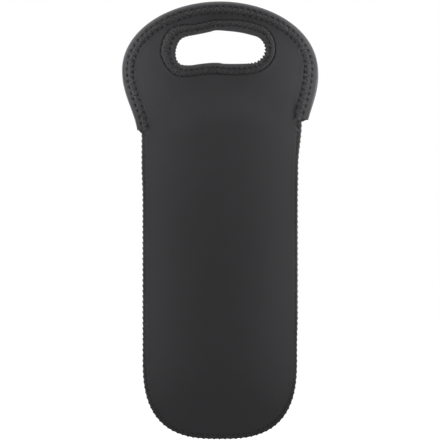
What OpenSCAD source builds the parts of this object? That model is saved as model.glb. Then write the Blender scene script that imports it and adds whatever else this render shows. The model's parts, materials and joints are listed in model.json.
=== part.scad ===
// Soft bottle carrier in foam-backed jersey, hanging empty: a flat pouch with a round bottom,
// and two arched handle flaps with a hand hole each, one in front and one behind.
// Millimetres: X runs across, Y from front to back and Z up.
// The origin is the hang point, the middle of the hand hole's upper edge.
// The sizes that end in _h below are heights, and a point's height is measured from the bottom seam.

/* [Pouch] */
// Width of the pouch between its side seams
pouch_w = 150.8; // [130:0.1:175]
// Height over which the bottom corners round into the sides
bottom_round_h = 80; // [55:1:110]
// How far the right side flares out by its notch
flare = 3.6; // [0:0.1:7]
// Height of the flared stretch below the right notch
flare_h = 46; // [20:1:80]

/* [Relaxed shape] */
// From the middle plane to a panel's inner face at the belly
belly_gap = 10; // [8:0.5:16]
// From the middle plane to a panel's inner face at the mouth
mouth_gap = 6.5; // [5:0.5:8]
// From the middle plane to a panel's inner face at the seams
seam_gap = 0.3; // [0.2:0.1:0.8]
// From the middle plane to a handle's inner face
handle_gap = 2.2; // [1.8:0.1:3]
// Height over which the belly closes in to the mouth
mouth_zone_h = 120; // [80:1:160]
// Height over which a handle's foot closes in from the mouth
throat_h = 44; // [30:1:48]

/* [Laminate] */
// Thickness of the foam core
foam_t = 2.1; // [1.5:0.1:3.5]
// Thickness of the knitted jersey on either side of it
jersey_t = 0.4; // [0.3:0.05:0.6]

/* [Handle] */
// Height of the whole carrier, from the bottom seam to the top of the arch
total_h = 431; // [425:0.1:445]
// Height of the handle alone, from the right notch to the top of the arch
handle_h = 118.8; // [112:0.1:130]
// How far the left notch lies below the right one
notch_step = 12; // [0:0.5:16]
// Widest width of the arch
arch_w = 193; // [185:0.5:210]
// Height of the arch's round top above its widest line
arch_top_h = 67.6; // [58:0.1:75]
// How far below the left tip the arch would have narrowed to its neck
neck_run = 8.8; // [0:0.1:16]
// How far the neck stands out past the side seam
wing_step = 5.1; // [2:0.1:8]
// How far the arch's lower tips lie above the notches
tip_rise_h = 4; // [2:0.5:8]
// Width of the hand hole
hole_w = 88.6; // [75:0.1:96]
// Height of the hand hole
hole_h = 34; // [28:0.1:38]
// Height of the bridge between the hand hole and the top of the arch
bridge_h = 28.8; // [27:0.1:36]

/* [Binding] */
// Thickness of the folded knit tape
tape_t = 0.9; // [0.5:0.1:1.2]
// Width of the tape on either face along the arch
arch_tape_w = 12.5; // [11:0.1:14]
// Width of the tape on either face round the hand hole
grip_tape_w = 10.4; // [9.5:0.1:11.5]

/* [Stitching] */
// Thickness of the sewing thread
thread_d = 0.8; // [0.5:0.05:1]
// Length of one full zigzag
zigzag_pitch = 5.9; // [5:0.1:8]
// Width of the zigzag on the arch tape
arch_zigzag_w = 4.6; // [3:0.1:4.8]
// From the arch's edge to the middle of its zigzag
arch_zigzag_in = 9; // [7:0.1:9.4]
// Width of the zigzag on the hand hole's tape
grip_zigzag_w = 4.2; // [3:0.1:4.4]
// From the hand hole's edge to the middle of its zigzag
grip_zigzag_in = 6.6; // [5:0.1:6.8]
// Width of the thread cover along the side and bottom seams, on either face
seam_cover_w = 4.4; // [3:0.1:6]
// Thickness of that thread cover
seam_cover_t = 0.7; // [0.4:0.05:1]
// Width of the bar tack at each notch
tack_w = 9; // [6:0.5:12]
// Height of the bar tack at each notch
tack_h = 3.6; // [2:0.1:6]

/* [Hidden] */
// Film of glue between the foam and the jersey
bond_t = 0.05;
// Clearance between the laminate and what is sewn round it
sewn_gap = 0.15;
// Clearance across the crease between a panel and its handle
flex_gap = 0.3;

// How square the bottom corners are: 2 is an ellipse
corner_power = 2.7;
// How square the hand hole is above its widest line, and below it
hole_top_power = 2.15;
hole_bottom_power = 4;
// How full the pillow of a panel is towards its seams
pillow_power = 1.3;
// The part of the hand hole's height that lies above its widest line
hole_top_share = 0.56;
// The part of the mouth's half width that stays pillowed, before the flat wings begin
throat_share = 0.8;
// Places across a handle's foot, from the right notch to the left one
foot_shares = [1, 0.8, 0.55, 0.28, 0, -0.28, -0.55, -0.8, -1];
// How the panels' rows crowd towards the bottom
row_power = 1.5;

pouch_columns = 20;
pouch_rows = 8;
side_steps = 4;
arch_steps = 20;

panel_t = foam_t + 2 * jersey_t + 2 * bond_t;
foam_in = jersey_t + bond_t;
face_in = foam_in + foam_t + bond_t;
arch_mid_h = total_h - arch_top_h;
right_notch_h = total_h - handle_h;
left_notch_h = right_notch_h - notch_step;
left_tip_h = left_notch_h + tip_rise_h;
right_tip_h = right_notch_h + tip_rise_h;
neck_h = arch_mid_h - left_tip_h + neck_run;
hang_h = total_h - bridge_h;
hole_mid_h = hang_h - hole_h * hole_top_share;
mouth_w = pouch_w + flare;
edge_in = tape_t + sewn_gap;
thread_in = panel_t + sewn_gap + tape_t + bond_t + thread_d / 2;

// Small helpers
function mix(a, b, t) = a + (b - a) * t;
function clamp(t) = max(0, min(1, t));
function ease(t) = (1 - cos(180 * clamp(t))) / 2;
function unit(v) = v / norm(v);
function last(list) = list[len(list) - 1];
function backwards(list) = [for (i = [len(list) - 1:-1:0]) list[i]];

// A point of the row frame, from a place on the front view and a depth in front of the middle plane
function at(place, depth) = [place.x, -depth, place.y - hang_h];

// Front view of the pouch
function side_x(left, h) = pouch_w / 2 + (left ? 0 : flare * ease((h - right_notch_h + flare_h) / flare_h));
function crease_h(x) = mix(left_notch_h, right_notch_h, (x + pouch_w / 2) / mouth_w);
function column_share(i) = let (a = mix(-90, 90, i / pouch_columns))
    sign(a) * pow(abs(sin(a)), 2 / corner_power);
function bottom_h(share) =
    bottom_round_h * (1 - pow(1 - pow(abs(share), corner_power), 1 / corner_power));
function mouth_x(share) = share * (pouch_w / 2 + (share > 0 ? flare : 0));
function pouch_place(share, h) = [share * side_x(share < 0, h), h];
function pouch_column(share) = let (
        mouth = pouch_place(share, crease_h(mouth_x(share))),
        top_h = crease_h(mouth.x) - flex_gap / 2)
    [for (j = [0:pouch_rows]) pouch_place(share, mix(bottom_h(share), top_h, pow(j / pouch_rows, row_power)))];

// The edge of the pouch from just under the left bar tack round the bottom to just under the right one
function tack_foot_h(left) = let (side = left ? -1 : 1, edge_x = abs(mouth_x(side)))
    min(crease_h(side * edge_x), crease_h(side * (edge_x - tack_w))) - flex_gap - tack_h;
function cut_off(column, h) = let (n = len([for (p = column) if (p.y < h) p]))
    concat([for (j = [1:n - 1]) column[j]],
        [mix(column[n - 1], column[n], (h - column[n - 1].y) / (column[n].y - column[n - 1].y))]);
function pouch_edge() = concat(
    backwards(cut_off(pouch_column(-1), tack_foot_h(true) - seam_cover_t)),
    [for (i = [0:pouch_columns]) pouch_column(column_share(i))[0]],
    cut_off(pouch_column(1), tack_foot_h(false) - seam_cover_t));

// How open the carrier is: from the middle plane to a panel's inner face
function near_seam(place) = let (
        across = abs(place.x) / side_x(place.x < 0, place.y),
        down = max(0, 1 - place.y / bottom_round_h))
    min(1, pow(pow(across, corner_power) + pow(down, corner_power), 1 / corner_power));
function open_gap(h) = mix(mouth_gap, belly_gap, ease((crease_h(0) - h) / mouth_zone_h));
function pouch_gap(place) =
    mix(seam_gap, open_gap(place.y), pow(1 - pow(near_seam(place), 2), pillow_power));
function handle_gap_at(place) = let (
        foot_h = crease_h(place.x),
        wing = ease((abs(place.x) / side_x(place.x < 0, foot_h) - throat_share / 2) * 2 / throat_share),
        foot = mix(pouch_gap([place.x, foot_h]), handle_gap, wing))
    mix(foot, handle_gap, ease((place.y - foot_h) / throat_h));

// Front view of the handle: its arch runs from the left tip over the top to the right tip
function neck_x(left, h) = let (neck = side_x(left, right_notch_h) + wing_step)
    mix(arch_w / 2, neck, ease((arch_mid_h - h) / neck_h));
arch_edge = concat(
    [for (i = [0:side_steps - 1]) let (h = mix(left_tip_h, arch_mid_h, i / side_steps)) [-neck_x(true, h), h]],
    [for (i = [0:arch_steps]) let (a = 180 - 180 * i / arch_steps)
        [arch_w / 2 * cos(a), arch_mid_h + arch_top_h * sin(a)]],
    [for (i = [1:side_steps]) let (h = mix(arch_mid_h, right_tip_h, i / side_steps)) [neck_x(false, h), h]]);

// An outline moved to its right-hand side, which is inwards on a path that runs clockwise
function moved(path, distance, loop = false) = let (n = len(path)) [for (i = [0:n - 1])
    let (before = loop ? path[(i + n - 1) % n] : path[max(0, i - 1)],
         after = loop ? path[(i + 1) % n] : path[min(n - 1, i + 1)],
         along = unit(after - before))
    path[i] + distance * [along.y, -along.x]];

// The hand hole's edge, seen from its middle in the direction of a place, grown by a distance
function hole_place(towards, grown) = let (
        v = towards - [0, hole_mid_h],
        up = v.y > 0,
        power = up ? hole_top_power : hole_bottom_power,
        half_w = hole_w / 2 + grown,
        half_h = hole_h * (up ? hole_top_share : 1 - hole_top_share) + grown,
        reach = pow(pow(abs(v.x) / half_w, power) + pow(abs(v.y) / half_h, power), -1 / power))
    [0, hole_mid_h] + reach * v;

// The handle's outer stations: the arch, then back along the foot from right to left
function handle_edge(inset) = concat(moved(arch_edge, inset),
    [for (share = foot_shares) let (x = mouth_x(share)) [x, crease_h(x) + flex_gap / 2]]);

// Solids from grids of points
function quads(columns, rows, loop, shift, flip) = [for (i = [0:columns - (loop ? 1 : 2)], j = [0:rows - 2])
    let (a = shift + i * rows + j, b = shift + ((i + 1) % columns) * rows + j)
    each (flip ? [[a, b, b + 1], [a, b + 1, a + 1]] : [[a, b + 1, b], [a, a + 1, b + 1]])];
function rim(path, shift, loop) = [for (k = [0:len(path) - (loop ? 1 : 2)])
    let (a = path[k], b = path[(k + 1) % len(path)])
    each [[a, b, b + shift], [a, b + shift, a + shift]]];

// A sheet between an outer and an inner grid: an open one, or one that closes into a ring
module sheet(outer, inner, loop = false) {
    columns = len(outer);
    rows = len(outer[0]);
    n = columns * rows;
    bottom = [for (i = [0:columns - 1]) i * rows];
    top = [for (i = [columns - 1:-1:0]) i * rows + rows - 1];
    left = [for (j = [rows - 1:-1:0]) j];
    right = [for (j = [0:rows - 1]) (columns - 1) * rows + j];
    polyhedron(
        points = concat([for (column = outer) each column], [for (column = inner) each column]),
        faces = concat(
            quads(columns, rows, loop, 0, false), quads(columns, rows, loop, n, true),
            rim(bottom, n, loop), rim(top, n, loop),
            loop ? [] : rim(left, n, false), loop ? [] : rim(right, n, false)));
}

// The end of a swept section whose second half runs back along its first one
function cap(sides, shift, flip) = [for (k = [0:ceil(sides / 2) - 2])
    let (a = shift + k, c = shift + sides - 1 - k)
    each (k + 1 == sides - 2 - k ? [flip ? [a, c, a + 1] : [a, a + 1, c]]
        : flip ? [[a, c, a + 1], [a + 1, c, c - 1]] : [[a, a + 1, c], [a + 1, c - 1, c]])];

// A closed section carried along stations: open with two ends, or a ring
module swept(stations, loop = false) {
    sides = len(stations[0]);
    n = len(stations);
    polyhedron(
        points = [for (station = stations) each station],
        faces = concat(
            [for (i = [0:n - (loop ? 1 : 2)], k = [0:sides - 1])
                let (a = i * sides + k, b = i * sides + (k + 1) % sides, next = loop ? (i + 1) % n : i + 1,
                     c = next * sides + k, d = next * sides + (k + 1) % sides)
                each [[a, c, d], [a, d, b]]],
            loop ? [] : cap(sides, 0, false), loop ? [] : cap(sides, (n - 1) * sides, true)));
}

// One layer of the pouch panel, between two depths outside the panel's inner face
module pouch_layer(from, to) {
    places = [for (i = [0:pouch_columns]) pouch_column(column_share(i))];
    sheet([for (column = places) [for (p = column) at(p, pouch_gap(p) + to)]],
        [for (column = places) [for (p = column) at(p, pouch_gap(p) + from)]]);
}

// One layer of the handle, a ring from the hand hole out to the arch and the foot
module handle_layer(from, to) {
    outer = handle_edge(edge_in);
    places = [for (p = outer) let (
            rim_place = hole_place(p, edge_in),
            tape_place = hole_place(p, grip_tape_w + sewn_gap))
        [rim_place, tape_place, mix(tape_place, p, 1 / 2), p]];
    sheet([for (column = places) [for (p = column) at(p, handle_gap_at(p) + to)]],
        [for (column = places) [for (p = column) at(p, handle_gap_at(p) + from)]], loop = true);
}

// Section of a folded tape, as distances in from its fold and depths outside the laminate's inner face:
// out along its outer side from the back to the front, and back along its inner side
function tape_section(width) = let (out = panel_t + sewn_gap, fold = edge_in - sewn_gap / 2) [
    [width, -sewn_gap - tape_t], [tape_t, -sewn_gap - tape_t], [0, panel_t / 2],
    [tape_t, out + tape_t], [width, out + tape_t],
    [width, out], [fold, out], [fold, panel_t / 2], [fold, -sewn_gap], [width, -sewn_gap]];

module arch_tape() {
    edges = [for (s = tape_section(arch_tape_w)) moved(arch_edge, s.x)];
    swept([for (i = [0:len(arch_edge) - 1])
        [for (k = [0:len(edges) - 1]) at(edges[k][i], handle_gap + tape_section(arch_tape_w)[k].y)]]);
}

module grip_tape() {
    swept([for (p = handle_edge(0))
        [for (s = backwards(tape_section(grip_tape_w))) at(hole_place(p, s.x), handle_gap + s.y)]], loop = true);
}

// Length along a path up to each of its points
function lengths(path, i = 0, sum = 0) = i == len(path) - 1 ? [sum]
    : concat([sum], lengths(path, i + 1, sum + norm(path[i + 1] - path[i])));

// A zigzag thread with three sides along the middle of its row, from one end to the other or right round
module zigzag(middle, width, loop = false) {
    path = loop ? concat(middle, [middle[0]]) : middle;
    sums = lengths(path);
    turns = 2 * round((last(sums) - (loop ? 0 : zigzag_pitch)) / zigzag_pitch);
    slant = norm([width, zigzag_pitch / 2]) / zigzag_pitch;
    swept([for (i = [0:turns - (loop ? 1 : 0)]) let (
            length = loop ? last(sums) * i / turns : mix(zigzag_pitch / 2, last(sums) - zigzag_pitch / 2, i / turns),
            k = max([for (m = [0:len(sums) - 2]) if (sums[m] <= length) m]),
            p = mix(path[k], path[k + 1], (length - sums[k]) / (sums[k + 1] - sums[k])),
            along = unit(path[k + 1] - path[k]),
            inwards = [along.y, -along.x],
            needle = p + inwards * width / 2 * (i % 2 == 0 ? -1 : 1),
            half = inwards * thread_d * slant)
        [at(needle - half, handle_gap + thread_in), at(needle, handle_gap + thread_in + thread_d / 2),
         at(needle + half, handle_gap + thread_in)]], loop);
}

module arch_zigzag() {
    zigzag(moved(arch_edge, arch_zigzag_in), arch_zigzag_w);
}

module grip_zigzag() {
    zigzag([for (p = handle_edge(0)) hole_place(p, grip_zigzag_in)], grip_zigzag_w, loop = true);
}

// The thread cover that binds both panels together along the sides and the bottom
module seam_cover() {
    edge = pouch_edge();
    inner = moved(edge, -seam_cover_w);
    middle = moved(edge, -seam_cover_w / 2);
    outer = moved(edge, seam_cover_t + sewn_gap);
    hug = moved(edge, sewn_gap / 2);
    out = panel_t + 2 * sewn_gap;
    function depth(p) = pouch_gap(p) + out;
    swept([for (i = [0:len(edge) - 1]) let (
            a = depth(inner[i]), b = depth(middle[i]), c = seam_gap + out)
        [at(inner[i], -a), at(middle[i], -b), at(hug[i], -c), at(hug[i], c), at(middle[i], b), at(inner[i], a),
         at(inner[i], a + seam_cover_t), at(middle[i], b + seam_cover_t), at(outer[i], c),
         at(outer[i], -c), at(middle[i], -b - seam_cover_t), at(inner[i], -a - seam_cover_t)]]);
}

// A bar tack folded round the seam's end, just under the notch
module bar_tack(left) {
    side = left ? -1 : 1;
    edge_x = abs(mouth_x(side));
    foot_h = tack_foot_h(left);
    steps = 4;
    profile = [for (t = [0:steps]) let (x = edge_x - tack_w + tack_w * t / steps, p = [side * x, foot_h])
        [x, pouch_gap(p) + panel_t + sewn_gap]];
    cover = [for (p = profile) [p.x, p.y + seam_cover_t]];
    half = concat(profile, [[edge_x + sewn_gap, last(profile).y]]);
    half_out = concat(cover, [[edge_x + sewn_gap + seam_cover_t, last(profile).y]]);
    outline = concat(half, [for (i = [len(half) - 1:-1:0]) [half[i].x, -half[i].y]],
        [for (p = half_out) [p.x, -p.y]], [for (i = [len(half_out) - 1:-1:0]) half_out[i]]);
    translate([0, 0, foot_h - hang_h]) linear_extrude(tack_h) polygon([for (p = outline) [side * p.x, p.y]]);
}

module back() {
    mirror([0, 1, 0]) children();
}

module front_pouch_face() { color([0.20, 0.20, 0.21]) pouch_layer(face_in, panel_t); }
module front_pouch_foam() { color([0.10, 0.10, 0.10]) pouch_layer(foam_in, face_in - bond_t); }
module front_pouch_lining() { color([0.15, 0.15, 0.16]) pouch_layer(0, jersey_t); }
module back_pouch_face() { back() front_pouch_face(); }
module back_pouch_foam() { back() front_pouch_foam(); }
module back_pouch_lining() { back() front_pouch_lining(); }
module seam_overedge() { color([0.27, 0.27, 0.28]) seam_cover(); }
module left_bar_tack() { color([0.27, 0.27, 0.28]) bar_tack(true); }
module right_bar_tack() { color([0.27, 0.27, 0.28]) bar_tack(false); }
module front_handle_face() { color([0.22, 0.22, 0.23]) handle_layer(face_in, panel_t); }
module front_handle_foam() { color([0.10, 0.10, 0.10]) handle_layer(foam_in, face_in - bond_t); }
module front_handle_lining() { color([0.15, 0.15, 0.16]) handle_layer(0, jersey_t); }
module front_arch_binding() { color([0.29, 0.29, 0.30]) arch_tape(); }
module front_grip_binding() { color([0.29, 0.29, 0.30]) grip_tape(); }
module front_arch_stitching() { color([0.33, 0.33, 0.34]) arch_zigzag(); }
module front_grip_stitching() { color([0.33, 0.33, 0.34]) grip_zigzag(); }
module back_handle_face() { back() front_handle_face(); }
module back_handle_foam() { back() front_handle_foam(); }
module back_handle_lining() { back() front_handle_lining(); }
module back_arch_binding() { back() front_arch_binding(); }
module back_grip_binding() { back() front_grip_binding(); }
module back_arch_stitching() { back() front_arch_stitching(); }
module back_grip_stitching() { back() front_grip_stitching(); }

front_pouch_face();
front_pouch_foam();
front_pouch_lining();
back_pouch_face();
back_pouch_foam();
back_pouch_lining();
seam_overedge();
left_bar_tack();
right_bar_tack();
front_handle_face();
front_handle_foam();
front_handle_lining();
front_arch_binding();
front_grip_binding();
front_arch_stitching();
front_grip_stitching();
back_handle_face();
back_handle_foam();
back_handle_lining();
back_arch_binding();
back_grip_binding();
back_arch_stitching();
back_grip_stitching();
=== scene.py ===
"""Looks of a soft bottle carrier in foam-backed jersey, built on its packed model.

The shaping code works in millimetres. A place is (x, h) on the front view, with h the height above
the bottom seam, and a depth is measured from the middle plane: forwards on the front panel (side 1)
and backwards on the back one (side -1).
"""

import json
import math
from types import SimpleNamespace

import bpy
import numpy as np
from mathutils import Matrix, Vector
from mathutils.geometry import delaunay_2d_cdt
from mathutils.kdtree import KDTree


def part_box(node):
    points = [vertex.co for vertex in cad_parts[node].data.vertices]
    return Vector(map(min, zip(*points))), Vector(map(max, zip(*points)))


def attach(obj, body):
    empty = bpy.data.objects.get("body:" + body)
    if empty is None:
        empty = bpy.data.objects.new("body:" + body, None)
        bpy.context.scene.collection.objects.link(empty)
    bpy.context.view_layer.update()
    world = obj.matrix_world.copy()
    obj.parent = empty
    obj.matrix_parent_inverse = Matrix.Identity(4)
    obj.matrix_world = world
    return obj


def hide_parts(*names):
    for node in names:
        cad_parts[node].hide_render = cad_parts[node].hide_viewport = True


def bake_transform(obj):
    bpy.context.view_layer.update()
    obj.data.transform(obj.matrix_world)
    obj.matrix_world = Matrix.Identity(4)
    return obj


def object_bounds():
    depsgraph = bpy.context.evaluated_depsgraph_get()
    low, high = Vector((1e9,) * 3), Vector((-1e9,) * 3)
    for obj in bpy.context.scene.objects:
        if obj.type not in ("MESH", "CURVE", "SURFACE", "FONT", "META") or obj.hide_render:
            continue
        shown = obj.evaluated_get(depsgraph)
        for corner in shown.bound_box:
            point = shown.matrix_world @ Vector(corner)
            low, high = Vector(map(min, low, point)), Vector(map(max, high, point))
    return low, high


bl_info = {
    "name": "Soft Bottle Carrier",
    "version": (1, 0, 0),
    "blender": (4, 5, 0),
    "location": "View3D > Sidebar > Carrier",
    "description": "Dresses the packed bottle carrier in knitted jersey, folded tape and thread",
    "category": "Object",
}

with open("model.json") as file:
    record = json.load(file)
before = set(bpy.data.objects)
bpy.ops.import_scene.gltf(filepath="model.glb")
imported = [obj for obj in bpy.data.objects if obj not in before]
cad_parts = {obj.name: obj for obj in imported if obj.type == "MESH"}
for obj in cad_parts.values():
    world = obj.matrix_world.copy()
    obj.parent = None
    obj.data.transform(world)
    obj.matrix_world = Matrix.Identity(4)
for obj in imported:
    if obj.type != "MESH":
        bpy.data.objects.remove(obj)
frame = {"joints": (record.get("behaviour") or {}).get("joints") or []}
CAD_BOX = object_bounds()
MM = 0.001
# The bottom seam's height in the row frame, from the packed panel
SEAM_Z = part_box("front_pouch_foam")[0].z / MM
SIDES = {"front": 1, "back": -1}


# ---- sizes and colours


def size(name, description, default, low=0.0, high=500.0):
    """A length property, given here in millimetres."""
    span = {"default": default * MM, "min": low * MM, "max": high * MM}
    return bpy.props.FloatProperty(
        name=name, description=description, precision=4, subtype="DISTANCE", unit="LENGTH", **span
    )


def colour(name, description, default):
    """A colour property, in linear light."""
    span = {"default": default, "min": 0.0, "max": 1.0}
    return bpy.props.FloatVectorProperty(name=name, description=description, size=3, subtype="COLOR", **span)


def power(name, description, default):
    """A lamp's power, in watts."""
    return bpy.props.FloatProperty(
        name=name, description=description, default=default, min=0.0, subtype="POWER", unit="POWER"
    )


class CarrierCut(bpy.types.PropertyGroup):
    """How the two panels are cut and how far they stand open"""

    pouch_width: size("Pouch width", "Between the side seams", 151.6)
    bottom_drop: size("Bottom drop", "How far the weight of the cloth rounds the bottom seam out", 0.4)
    bottom_round: size("Bottom rounding", "Height over which the bottom corners round off", 80)
    total_height: size("Total height", "From the bottom seam to the top of the arch", 431)
    handle_height: size("Handle height", "From the right notch to the top of the arch", 118.8)
    notch_step: size("Notch step", "How far the left notch lies below the right one", 12)
    flare: size("Flare", "How far the right side flares out by its notch", 3.6)
    flare_height: size("Flare height", "Height of the flared stretch", 46)
    arch_width: size("Arch width", "Widest width of the handle's arch", 193)
    arch_top: size("Arch top", "Height of the arch above its widest line", 67.6)
    neck_run: size("Neck run", "How far below the left tip the arch would reach its neck", 8.8)
    wing_step: size("Wing step", "How far the neck stands out past the side seam", 5.1)
    left_tip_rise: size("Left tip rise", "Height of the arch's left tip above its notch", 4)
    right_tip_rise: size("Right tip rise", "Height of the arch's right tip above its notch", 2.2)
    lean: size("Lean", "How far the sides belly out between bottom and notches", 1.0)
    shoulder: size("Shoulder", "How far the right flank of the arch bellies out", 1.6)
    belly_gap: size("Belly gap", "From the middle plane to a panel at the belly", 10)
    mouth_gap: size("Mouth gap", "From the middle plane to a panel at the mouth", 6.5)
    seam_gap: size("Seam gap", "From the middle plane to a panel at the seams", 0.3)
    handle_gap: size("Handle gap", "From the middle plane to a handle flap", 2.2)
    mouth_zone: size("Mouth zone", "Height over which the belly closes in to the mouth", 120)
    throat: size("Throat", "Height over which a handle's foot closes in", 44)
    foam: size("Foam", "Thickness of the foam core", 2.1)
    jersey: size("Jersey", "Thickness of the jersey on either side of it", 0.4)
    bond: size("Bond", "Film of glue between foam and jersey", 0.05)
    squeeze: size("Squeeze", "How far the tapes press the foam in", 0.25)


class CarrierSewing(bpy.types.PropertyGroup):
    """Tapes, threads and seams"""

    tape: size("Tape thickness", "Thickness of the folded knit tape", 0.9)
    arch_tape: size("Arch tape", "Width of the tape on either face of the arch", 11.4)
    arch_tape_end: size("Arch tape at its end", "Its width low on the right flank", 14.2)
    arch_zigzag: size("Arch zigzag's width", "From needle hole to needle hole across the tape", 4.3)
    grip_tape: size("Grip tape", "Width of the tape round the hand hole", 10.2)
    grip_tape_left: size("Grip tape at the left", "Its width at the hole's left end", 14.6)
    grip_zigzag: size("Grip zigzag's width", "From needle hole to needle hole across the tape", 4.3)
    arch_hem: size("Arch hem", "From the arch tape's free edge to the nearer needle holes", 1.2)
    grip_hem: size("Grip hem", "From the grip tape's free edge to the nearer needle holes", 0.4)
    fold: size("Fold", "Width of the rounded fold of the tapes", 3.5)
    pit: size("Needle pit", "Depth that each needle hole pulls into the tape", 1.0)
    pit_width: size("Needle pit's width", "Radius of the hollow round each needle hole", 1.2)
    thread: size("Thread", "Thickness of the zigzag thread", 1.4)
    seam_thread: size("Seam thread", "Thickness of the overedge thread", 0.75)
    backtack: size("Backtack", "Length over which the zigzag is sewn back at both ends", 14)
    arch_pitch: size("Arch zigzag", "Length of one full zigzag on the arch", 6.1)
    grip_pitch: size("Grip zigzag", "Length of one full zigzag round the hole", 5.2)
    seam_pitch: size("Overedge stitch", "Length of one overedge stitch", 5.3)
    tack_pitch: size("Tack stitch", "Length of one stitch of a bar tack", 0.9)
    seam_reach: size("Overedge reach", "From a side seam's edge to its needle holes", 2.2)
    bottom_reach: size("Bottom reach", "From the bottom seam's edge to its needle holes", 4.0)
    tack_width: size("Tack width", "Width of the bar tack at each notch", 7.5)
    tack_height: size("Tack height", "Height of the bar tack at each notch", 3.2)
    pucker: size("Pucker", "Depth of the gathers in the tape at the hole's tight ends", 1.7)
    pucker_pitch: size("Pucker pitch", "Length of one gather", 3.3)


class CarrierColours(bpy.types.PropertyGroup):
    """Yarn and fabric colours, and the pitch of the knit"""

    jersey: colour("Jersey", "Outer jersey", (0.0370, 0.0358, 0.0380))
    lining: colour("Lining", "Inner jersey", (0.030, 0.0295, 0.031))
    foam: colour("Foam", "Foam core", (0.010, 0.010, 0.010))
    tape: colour("Tape", "Folded knit tape", (0.0465, 0.045, 0.0477))
    thread: colour("Thread", "Zigzag thread", (0.036, 0.0352, 0.0373))
    seam_thread: colour("Seam thread", "Overedge thread", (0.033, 0.032, 0.0335))
    wale: size("Wale", "Width of one wale of the jersey", 0.82)
    course: size("Course", "Height of one course of the jersey", 0.62)
    tape_wale: size("Tape wale", "Width of one rib of the tape", 0.95)
    tape_course: size("Tape course", "Length of one course of the tape", 0.7)


class CarrierStudio(bpy.types.PropertyGroup):
    """The studio round the carrier"""

    view: size("View", "Height of the picture at the carrier", 434.4, 100, 2000)
    distance: size("Camera distance", "From the camera to the carrier", 2400, 500, 9000)
    floor_drop: size("Floor drop", "From the carrier's bottom down to the floor", 45)
    world: bpy.props.FloatProperty(
        name="Room light", description="Strength of the light from all round", default=0.2, min=0.0
    )
    left_light: power("Left light", "Power of the tall light at the carrier's left", 0.555)
    right_light: power("Right light", "Power of the tall light at its right", 0.65)
    handle_light: power("Handle lights", "Power of each small light beside the handle", 0.118)
    level_light: power("Level lights", "Power of each light before and behind, level with the pouch", 0.7)
    top_light: power("Top light", "Power of the narrow light above the handle", 1.4)


def values(group):
    """A property group's values by name, its lengths in millimetres."""
    found = {}
    for key, prop in group.bl_rna.properties.items():
        if key in ("rna_type", "name"):
            continue
        value = getattr(group, key)
        if getattr(prop, "subtype", "") == "DISTANCE":
            value = value / MM
        found[key] = value if isinstance(value, float) else tuple(value)
    return SimpleNamespace(**found)


# ---- lines and places


def ease(t):
    """From 0 to 1 with a soft start and end."""
    return 0.5 - 0.5 * np.cos(np.pi * np.clip(t, 0, 1))


def mix(a, b, t):
    """From a at 0 to b at 1."""
    return a + (b - a) * t


def bell(x, width):
    """1 at 0, falling off to both sides."""
    return np.exp(-((x / width) ** 2))


def paired(x, h):
    """Places from their two coordinates."""
    return np.stack([x, h], axis=1)


def waves(t):
    """0 at every whole number and 1 halfway between two."""
    return 0.5 - 0.5 * np.cos(2 * np.pi * t)


def rounded(share, power):
    """A sine or cosine, for a curve between an ellipse at power 2 and a box."""
    return np.sign(share) * np.abs(share) ** (2 / power)


def to_frame(places, depth, side):
    """Places and depths as points of the row frame, in metres."""
    depth = np.broadcast_to(-side * depth, len(places))
    return np.stack([places[:, 0], depth, places[:, 1] + SEAM_Z], axis=1) * MM


def nearest(points, places):
    """Which of the points is nearest to each place, and how far away it is."""
    tree = KDTree(len(points))
    for k, (x, h) in enumerate(points.tolist()):
        tree.insert((x, h, 0), k)
    tree.balance()
    found = [tree.find((x, h, 0)) for x, h in places.tolist()]
    return np.array([f[1] for f in found], int), np.array([f[2] for f in found])


def run_along(points):
    """How far along a line each of its points lies."""
    return np.concatenate([[0], np.cumsum(np.hypot(*np.diff(points, axis=0).T))])


class Track:
    """A line on the front view with even stations, walked with the fabric on its right-hand side."""

    def __init__(self, points, spacing, closed=False):
        points = np.array(points, float)
        if closed:
            points = np.vstack([points, points[:1]])
        run = run_along(points)
        self.closed = closed
        self.along = np.linspace(0, run[-1], round(run[-1] / spacing) + 1)
        self.line = np.stack([np.interp(self.along, run, c) for c in points.T], axis=1)
        ahead = np.gradient(self.line, axis=0)
        if closed:
            ahead[0] = ahead[-1] = self.line[1] - self.line[-2]
        ahead /= np.linalg.norm(ahead, axis=1)[:, None]
        self.ahead, self.inward = ahead, paired(ahead[:, 1], -ahead[:, 0])

    def moved(self, inset, every=1):
        """The stations moved into the fabric."""
        inset = np.broadcast_to(inset, self.along.shape)[:, None]
        return (self.line + self.inward * inset)[::every]

    def pull(self, along, amount):
        """Moves into the fabric for places along the line."""
        return np.stack([np.interp(along, self.along, c) for c in self.inward.T], axis=1) * amount[:, None]

    def near(self, places):
        """How far in from the line each place lies, and how far along."""
        k, _ = nearest(self.line, places)
        inset, along = np.full(len(places), np.inf), np.zeros(len(places))
        for first in (np.maximum(k - 1, 0), np.minimum(k, len(self.line) - 2)):
            start, step = self.line[first], self.line[first + 1] - self.line[first]
            t = np.clip(((places - start) * step).sum(1) / (step**2).sum(1), 0, 1)
            gap = np.linalg.norm(places - start - t[:, None] * step, axis=1)
            closer = gap < inset
            inset[closer] = gap[closer]
            along[closer] = mix(self.along[first], self.along[first + 1], t)[closer]
        return inset, along


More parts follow.
